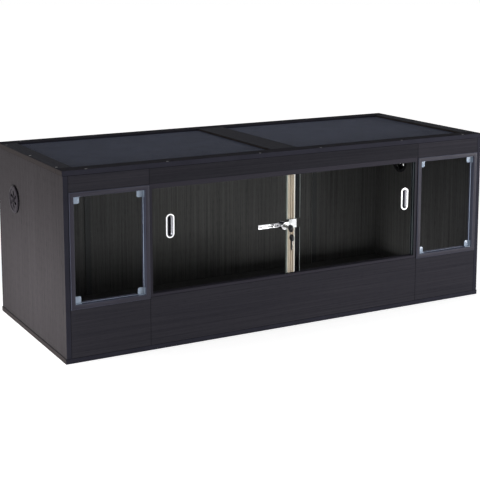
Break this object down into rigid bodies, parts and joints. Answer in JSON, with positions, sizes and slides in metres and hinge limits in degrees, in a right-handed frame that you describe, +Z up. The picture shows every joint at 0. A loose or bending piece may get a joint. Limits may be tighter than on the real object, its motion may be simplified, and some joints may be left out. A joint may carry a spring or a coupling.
{
  "type": "terrarium cabinet",
  "caption": "Long low vivarium box of dark laminated boards, with a framed mesh top, fixed side windows, locking sliding glass doors and round end vents.",
  "frame": {"origin": "centre of the base's underside, which the cabinet stands on", "axes": "+X along the front to the viewer's right, -Y out of the front, +Z up"},
  "size_m": [1.2082, 0.5295, 0.45],
  "materials": {
    "board": "dark wood-effect laminate on chipboard, satin",
    "mesh": "fine dark grey woven wire mesh",
    "frame_plastic": "dark grey moulded plastic, satin",
    "track_plastic": "black extruded plastic",
    "glass": "clear, polished edges",
    "clear_plastic": "clear moulded plastic",
    "seal_plastic": "clear extruded plastic, ribbed",
    "pull_plastic": "silver-grey moulded plastic",
    "chrome": "polished plate",
    "steel": "nickelled",
    "key_plastic": "black moulded",
    "pad_rubber": "black, matt",
    "vent_plastic": "black moulded plastic, satin",
    "dowel_wood": "bare beech"
  },
  "bodies": {
    "cabinet": {"base_panel": "board", "left_side_panel": "board", "right_side_panel": "board", "back_left_panel": "board", "back_centre_panel": "board", "back_right_panel": "board", "front_left_panel": "board", "front_right_panel": "board", "front_top_rail": "board", "front_bottom_rail": "board", "top_front_rail": "board", "top_back_rail": "board", "top_left_rail": "board", "top_right_rail": "board", "top_centre_bar": "board", "back_joint_strips": "track_plastic", "upper_door_track": "track_plastic", "lower_door_track": "track_plastic", "left_door_jamb": "track_plastic", "right_door_jamb": "track_plastic", "left_mesh": "mesh", "right_mesh": "mesh", "left_window_frame": "frame_plastic", "right_window_frame": "frame_plastic", "left_window_pane": "glass", "right_window_pane": "glass", "left_window_clips": "clear_plastic", "right_window_clips": "clear_plastic", "top_screws": "steel", "base_screws": "steel", "left_vent_flange": "vent_plastic", "right_vent_flange": "vent_plastic", "left_vent_liner": "vent_plastic", "right_vent_liner": "vent_plastic", "panel_dowels": "dowel_wood"},
    "left_door": {"left_door_glass": "glass", "left_finger_pull": "pull_plastic", "door_seal": "seal_plastic", "ratchet_bar": "chrome", "hook_pad": "pad_rubber"},
    "right_door": {"right_door_glass": "glass", "right_finger_pull": "pull_plastic"},
    "lock": {"lock_barrel": "chrome"},
    "key": {"lock_plug": "steel", "key_blade": "steel", "key_head": "key_plastic", "key_ring": "steel"},
    "spare_key": {"spare_key_blade": "steel", "spare_key_head": "key_plastic"},
    "left_shutter": {"left_vent_shutter": "vent_plastic", "left_vent_knob": "vent_plastic"},
    "right_shutter": {"right_vent_shutter": "vent_plastic", "right_vent_knob": "vent_plastic"}
  },
  "joints": [
    {"name": "left_door_slide", "type": "slide", "parent": "cabinet", "child": "left_door", "axis": [1, 0, 0], "range_m": [0, 0.345]},
    {"name": "right_door_slide", "type": "slide", "parent": "cabinet", "child": "right_door", "axis": [-1, 0, 0], "range_m": [0, 0.29]},
    {"name": "lock_slide", "type": "slide", "parent": "right_door", "child": "lock", "axis": [-1, 0, 0], "range_m": [0, 0.055]},
    {"name": "key_turn", "type": "hinge", "parent": "lock", "child": "key", "pos_m": [-0.0248, -0.25, 0.263], "axis": [0, 1, 0], "range_deg": [0, 90]},
    {"name": "spare_key_hang", "type": "hinge", "parent": "key", "child": "spare_key", "pos_m": [-0.0248, -0.2818, 0.2538], "axis": [0, 1, 0], "range_deg": [-90, 0]},
    {"name": "left_vent_turn", "type": "hinge", "parent": "cabinet", "child": "left_shutter", "pos_m": [-0.598, 0.108, 0.323], "axis": [-1, 0, 0], "range_deg": [0, 30]},
    {"name": "right_vent_turn", "type": "hinge", "parent": "cabinet", "child": "right_shutter", "pos_m": [0.598, 0.108, 0.323], "axis": [1, 0, 0], "range_deg": [0, 30]}
  ],
  "couplings": [
    {"joint": "spare_key_hang", "follows": "key_turn", "ratio": -1}
  ]
}
